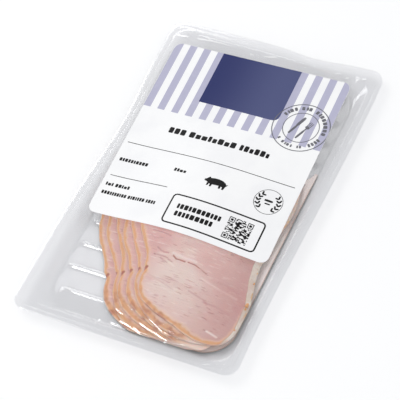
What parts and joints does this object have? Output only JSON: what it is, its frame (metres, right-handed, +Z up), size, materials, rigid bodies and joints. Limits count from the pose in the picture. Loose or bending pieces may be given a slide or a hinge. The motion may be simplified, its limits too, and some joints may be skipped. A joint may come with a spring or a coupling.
{
  "type": "pack of sliced smoked pork loin",
  "caption": "Flat sealed pack: shallow clear ribbed tray with a flange, slices of smoked pork loin laid like shingles, clear lid film and a large paper label.",
  "frame": {"origin": "under the middle of the tray's floor, on the surface the pack lies on", "axes": "+Z up, +Y along the pack towards the label's top edge, +X across the pack to the right as the label is read"},
  "size_m": [0.126, 0.2, 0.0139],
  "materials": {
    "tray_plastic": "clear formed plastic sheet",
    "film": "clear glossy film",
    "label_paper": "smooth coated paper",
    "loin": "moist cut meat"
  },
  "bodies": {
    "root": {"tray": "tray_plastic", "lid_film": "film", "label": "label_paper", "slice_1": "loin", "slice_2": "loin", "slice_3": "loin", "slice_4": "loin", "slice_5": "loin", "slice_6": "loin"}
  },
  "joints": []
}
